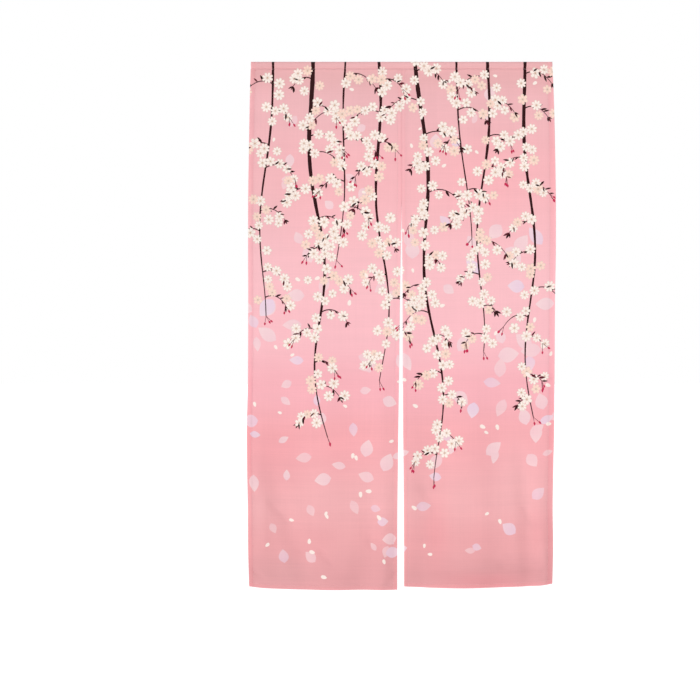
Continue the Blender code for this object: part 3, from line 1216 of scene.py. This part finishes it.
def sewing_thread(settings):
    """Spun thread, a little lighter than the cloth, with its twist."""
    material, tree, shader = new_material("sewing_thread")
    twist = noise_value(tree, object_place(tree), 900.0, 1.0)
    thread = tuple(settings.colours.thread)
    deep = tuple(0.82 * value for value in thread)
    feed(tree, shader, {
        "Base Color": mix_colours(tree, twist, deep, thread),
        "Normal": raised_normal(tree, twist, 0.4, 0.0001),
        "Roughness": 0.62,
    })
    return material


def put_in_scene(name, data):
    item = bpy.data.objects.new(name, data)
    bpy.context.scene.collection.objects.link(item)
    return item


def add_piece(name, mesh, maker, settings):
    """A piece of the curtain, in the material that its maker makes once."""
    mesh.materials.append(bpy.data.materials.get(maker.__name__) or maker(settings))
    piece = put_in_scene(name, mesh)
    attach(piece, "root")
    return piece


def panel_lay(panel):
    """How rich a panel's hems make it, and where its back shows the cloth's reverse."""

    def lay(centre, behind):
        rich = hem_richness(panel, *centre)
        return rich, float(behind and not rich)

    return lay


def panel_tone(panel):
    """Painted shade along the stitching, in the creases and down the seam, painted highlights
    on the edges, a little brighter over the bottom hem, and the patches of painted light, shade
    and uneven dye.
    """
    lines = stitch_lines(panel)

    def tone(u, v):
        x, drop = panel_place(panel, u, v)
        from_outer, from_slit, from_foot = insets(u, v)
        away = min(abs(inset - line) for inset, line in zip(insets(u, v), lines))
        joined = 1.0 - ease(drop, *DARK_END)
        change, rich = shade_of(x, drop)
        value = 1.0 + change - GROOVE_SHADE * bump(away / GROOVE_REACH)
        value += panel.edge_tone * bump(from_outer / EDGE_REACH)
        value -= SIDE_LINE_SHADE * bump((from_outer - lines[0]) / SIDE_LINE_REACH)
        value += EDGE_HIGHLIGHT * bump(from_foot / EDGE_REACH)
        value += EDGE_HIGHLIGHT * (1.0 - joined) * bump(from_slit / EDGE_REACH)
        value -= SEAM_SHADE * joined * bump(from_slit / SEAM_REACH)
        value += FOOT_TONE * (1.0 - ease(from_foot, BOTTOM_HEM - FOOT_FADE, BOTTOM_HEM))
        return value, rich

    return tone


def casing_lay(centre, behind):
    return float(PANEL_WIDTH - abs(centre[0]) < SIDE_HEMS["left"]), float(behind)


# Painted light under the casing's round, painted highlights at its two ends, and the patches of
# painted light, shade and uneven dye
def casing_tone(u, v):
    change, rich = shade_of(u * CASING_WIDTH / 2 / PANEL_WIDTH, abs(v))
    value = 1.0 + change + UNDERSIDE_LIGHT * bump((abs(v) - UNDERSIDE_DROP) / UNDERSIDE_REACH)
    return value + EDGE_HIGHLIGHT * bump((PANEL_WIDTH - abs(u)) / EDGE_REACH), rich


def unrolled(v):
    """The length of cloth from the casing's top edge to flat height v, along its round."""
    drop = min(abs(v), LOOP_HEIGHT)
    run = LOOP_HEIGHT / 2 * math.acos(1.0 - 2 * drop / LOOP_HEIGHT) + abs(v) - drop
    return math.copysign(run, v)


def panel_cut(panel, sizes, motifs):
    """A panel's flat cut, with the lines of its hems held."""
    near_edges = (OUTER_MARKS, EDGE_MARKS, EDGE_MARKS)
    outer, slit, foot = (
        (*near, line - LINE_MARK, line, hem, hem + HEM_STEP)
        for near, line, hem in zip(near_edges, stitch_lines(panel), hem_widths(panel))
    )
    marks = [panel.sign * (PANEL_WIDTH - inset) for inset in outer]
    marks += [panel.sign * inset for inset in slit]
    columns = spaced(panel.left, panel.right, marks, sizes.fineness)
    marks = [-PANEL_FOOT + inset for inset in foot] + [-PANEL_TOP - TOP_MARK]
    rows = spaced(-PANEL_FOOT, -PANEL_HIGH, marks, sizes.fineness)
    hems = (panel.sign * (PANEL_WIDTH - panel.outer_hem), panel.sign * SLIT_HEM)
    lines = [((u, -PANEL_FOOT), (u, -PANEL_HIGH)) for u in hems]
    foot_row = -PANEL_FOOT + BOTTOM_HEM
    lines.append(((panel.left, foot_row), (panel.right, foot_row)))
    box = (panel.left, panel.right, -PANEL_FOOT, -PANEL_HIGH)
    return cut_flat(box, columns, rows, lines, motifs)


def casing_cut(motifs):
    """The casing's flat cut, with close rows where the loop is round."""
    foot = LOOP_HEIGHT + LIP_HEIGHT
    turns = [math.cos(math.pi * i / CASING_TURNS) for i in range(CASING_TURNS + 1)]
    drops = [LOOP_HEIGHT / 2 * (1 - turn) for turn in turns] + [foot]
    rows = sorted({*drops, *(-drop for drop in drops)})
    side = PANEL_WIDTH - SIDE_HEMS["left"]
    marks = [-side, -SEAM_MARK, 0.0, SEAM_MARK, side]
    columns = spaced(-PANEL_WIDTH, PANEL_WIDTH, marks, CASING_STEP)
    lines = [((u, -foot), (u, foot)) for u in (-side, side)]
    lines += [((-PANEL_WIDTH, row), (PANEL_WIDTH, row)) for row in rows[1:-1]]
    return cut_flat((-PANEL_WIDTH, PANEL_WIDTH, -foot, foot), columns, rows, lines, motifs)


def add_stitch(verts, faces, places, normal, thread):
    """One stitch with few sides, whose ends sink into the cloth."""
    start, middle, end = places
    across = (end - start).normalized().cross(normal).normalized()
    first = len(verts)
    for place, thick, lift in (
        (start, STITCH_END, -STITCH_SINK),
        (start.lerp(middle, 0.5), 1.0, STITCH_LIFT),
        (middle.lerp(end, 0.5), 1.0, STITCH_LIFT),
        (end, STITCH_END, -STITCH_SINK),
    ):
        centre = place + normal * lift
        for i in range(STITCH_SIDES):
            angle = 2 * math.pi * i / STITCH_SIDES
            out = across * math.cos(angle) + normal * math.sin(angle)
            verts.append(centre + out * thread * thick)
    for ring in range(first, first + 3 * STITCH_SIDES, STITCH_SIDES):
        for i in range(STITCH_SIDES):
            a, b = ring + i, ring + (i + 1) % STITCH_SIDES
            faces.append((b, a, a + STITCH_SIDES, b + STITCH_SIDES))
    faces.append(tuple(range(first, first + STITCH_SIDES)))
    faces.append(tuple(reversed(range(len(verts) - STITCH_SIDES, len(verts)))))


def stitch_run(surface, flat_line, sizes):
    """The places and normal of each stitch along a straight flat line: first those on the
    front of the sheet, and then those on its back."""
    (u1, v1), (u2, v2) = flat_line
    total = math.hypot(u2 - u1, v2 - v1)
    aside = (NEXT_TO, 0.0) if v2 != v1 else (0.0, NEXT_TO)

    def at(along, behind, du=0.0, dv=0.0):
        share = along / total
        return surface(u1 + (u2 - u1) * share + du, v1 + (v2 - v1) * share + dv)[behind]

    for behind in (0, 1):
        for i in range(int(total / sizes.stitch_pitch)):
            start = (i + 0.5 * behind + FIRST_STITCH) * sizes.stitch_pitch
            if start + sizes.stitch > total:
                continue
            alongs = (start, start + sizes.stitch / 2, start + sizes.stitch)
            places = [at(along, behind) for along in alongs]
            beside = at(alongs[1], behind, *aside) - places[1]
            normal = (places[2] - places[0]).cross(beside).normalized()
            yield places, normal if (normal.y > 0) == bool(behind) else -normal


def sew_lines(name, surface, flat_lines, settings):
    """One piece that is made of all the stitches along a sheet's lines."""
    verts, faces = [], []
    for flat_line in flat_lines:
        for places, normal in stitch_run(surface, flat_line, settings.sizes):
            add_stitch(verts, faces, places, normal, settings.sizes.thread)
    return add_piece(name, smooth_mesh(name, verts, faces), sewing_thread, settings)


class CurtainOperator:
    """What the curtain's operators share."""

    bl_options = {"REGISTER", "UNDO"}

    @property
    def settings(self):
        return bpy.context.scene.door_curtain


class CURTAIN_OT_heading(CurtainOperator, bpy.types.Operator):
    """Sew the printed rod casing along the top"""

    bl_idname = "curtain.heading"
    bl_label = "Sew the heading"

    def execute(self, context):
        settings = self.settings
        cut = casing_cut(PrintMaker(settings).motifs())
        surface = casing_surface(settings.sizes)
        mesh = sew_sheet("heading_cloth", cut, surface, casing_lay, casing_tone)
        for corner in mesh.uv_layers["flat"].uv:
            corner.vector.y = unrolled(corner.vector.y)
        piece = add_piece("heading_cloth", mesh, printed_cloth, settings)
        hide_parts("heading")
        return {"FINISHED"}


class CURTAIN_OT_panels(CurtainOperator, bpy.types.Operator):
    """Hang the two printed panels on their folds"""

    bl_idname = "curtain.panels"
    bl_label = "Hang the panels"

    def execute(self, context):
        settings = self.settings
        motifs = PrintMaker(settings).motifs()
        for panel in PANELS:
            name = panel.side + "_panel_cloth"
            cut = panel_cut(panel, settings.sizes, motifs)
            surface = panel_surface(panel, settings.sizes)
            mesh = sew_sheet(name, cut, surface, panel_lay(panel), panel_tone(panel))
            piece = add_piece(name, mesh, printed_cloth, settings)
            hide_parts(panel.side + "_panel")
        return {"FINISHED"}


class CURTAIN_OT_stitching(CurtainOperator, bpy.types.Operator):
    """Stitch the hems, the casing and the centre seam"""

    bl_idname = "curtain.stitching"
    bl_label = "Stitch the hems"

    def execute(self, context):
        settings = self.settings
        side, v = PANEL_WIDTH - RUN_SIDE, -LOOP_HEIGHT - CASING_LINE
        casing = casing_surface(settings.sizes)
        sewn = sew_lines("heading_stitching", casing, [((-side, v), (side, v))], settings)
        for panel in PANELS:
            outer_line, slit_line, foot_line = stitch_lines(panel)
            lines = [
                ((u, -PANEL_FOOT + RUN_END), (u, -PANEL_TOP - RUN_END))
                for u in (panel.sign * (PANEL_WIDTH - outer_line), panel.sign * slit_line)
            ]
            v = -PANEL_FOOT + foot_line
            lines.append(((panel.left + RUN_SIDE, v), (panel.right - RUN_SIDE, v)))
            surface = panel_surface(panel, settings.sizes)
            sewn = sew_lines(panel.side + "_panel_stitching", surface, lines, settings)
        return {"FINISHED"}


class CURTAIN_OT_stage(CurtainOperator, bpy.types.Operator):
    """Set up the floor, the soft light and the camera"""

    bl_idname = "curtain.stage"
    bl_label = "Set up the studio"

    def execute(self, context):
        stage = self.settings.stage
        self.floor(stage, self.settings.colours)
        self.light("key_light", (-0.50, -1.0, 0.80), stage.key, 30)
        self.light("back_light", (0.5, 1.0, 0.6), stage.fill, 60)
        context.scene.world = self.sky(stage)
        camera = bpy.data.cameras.new("camera")
        camera.lens = stage.lens
        camera.sensor_width = 36.0
        camera.clip_end = 200.0
        holder = put_in_scene("camera", camera)
        holder.location = (stage.aim_x, -stage.distance, stage.aim_z)
        holder.rotation_euler = (math.pi / 2, 0.0, 0.0)
        context.scene.camera = holder
        context.scene.view_settings.view_transform = "Standard"
        return {"FINISHED"}

    def floor(self, stage, colours):
        mesh = bpy.data.meshes.new("studio_floor")
        corners = [(-1, -1), (1, -1), (1, 1), (-1, 1)]
        verts = [(x * FLOOR_HALF, y * FLOOR_HALF, stage.floor_z) for x, y in corners]
        mesh.from_pydata(verts, [], [(0, 1, 2, 3)])
        material, tree, shader = new_material("floor_paint")
        feed(tree, shader, {
            "Base Color": tuple(colours.floor),
            "Roughness": 0.9,
            "Emission Color": WHITE,
            "Emission Strength": stage.glow,
        })
        mesh.materials.append(material)
        floor = put_in_scene("studio_floor", mesh)
        floor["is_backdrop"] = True

    def light(self, name, towards, strength, spread):
        lamp = bpy.data.lights.new(name, "SUN")
        lamp.energy = strength
        lamp.angle = math.radians(spread)
        holder = put_in_scene(name, lamp)
        holder.rotation_mode = "QUATERNION"
        holder.rotation_quaternion = Vector(towards).to_track_quat("Z", "Y")

    def sky(self, stage):
        """Soft light from all round, with plain white behind where the camera sees it."""
        world = bpy.data.worlds.new("studio_sky")
        world.use_nodes = True
        tree = world.node_tree
        soft = tree.nodes["Background"]
        feed(tree, soft, {"Color": WHITE, "Strength": stage.sky})
        seen = add_node(tree, "ShaderNodeBackground", {"Color": WHITE, "Strength": 1.0})
        camera_ray = add_node(tree, "ShaderNodeLightPath").outputs["Is Camera Ray"]
        sockets = {0: camera_ray, 1: soft.outputs[0], 2: seen.outputs[0]}
        pick = add_node(tree, "ShaderNodeMixShader", sockets)
        feed(tree, tree.nodes["World Output"], {"Surface": pick.outputs[0]})
        return world


class CurtainSettings(bpy.types.PropertyGroup):
    sizes: PointerProperty(type=CurtainSizes, name="Sizes", description="Cloth and thread")
    colours: PointerProperty(type=CurtainColours, name="Colours", description="Dyes and inks")
    stage: PointerProperty(type=CurtainStage, name="Studio", description="Light and camera")


class CURTAIN_PT_sidebar(bpy.types.Panel):
    """Lists the curtain's settings and steps"""

    bl_label = "Split door curtain"
    bl_idname = "CURTAIN_PT_sidebar"
    bl_space_type = "VIEW_3D"
    bl_region_type = "UI"
    bl_category = "Curtain"

    def draw(self, context):
        settings = context.scene.door_curtain
        for group in (settings.sizes, settings.colours, settings.stage):
            box = self.layout.box()
            for name in group.__annotations__:
                box.prop(group, name)
        for step in STEPS:
            self.layout.operator(step.bl_idname)


STEPS = (CURTAIN_OT_heading, CURTAIN_OT_panels, CURTAIN_OT_stitching, CURTAIN_OT_stage)
GROUPS = (CurtainSizes, CurtainColours, CurtainStage, CurtainSettings)


def register():
    for item in (*GROUPS, *STEPS, CURTAIN_PT_sidebar):
        bpy.utils.register_class(item)
    bpy.types.Scene.door_curtain = PointerProperty(type=CurtainSettings)


def unregister():
    del bpy.types.Scene.door_curtain
    for item in reversed((*GROUPS, *STEPS, CURTAIN_PT_sidebar)):
        bpy.utils.unregister_class(item)


def write_sizes():
    boxes = {"cad": CAD_BOX, "visual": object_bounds()}
    {name: [list(corner) for corner in box] for name, box in boxes.items()}


def main():
    register()
    bpy.ops.curtain.heading()
    bpy.ops.curtain.panels()
    bpy.ops.curtain.stitching()
    bpy.ops.curtain.stage()
    write_sizes()


if __name__ == "__main__":
    main()
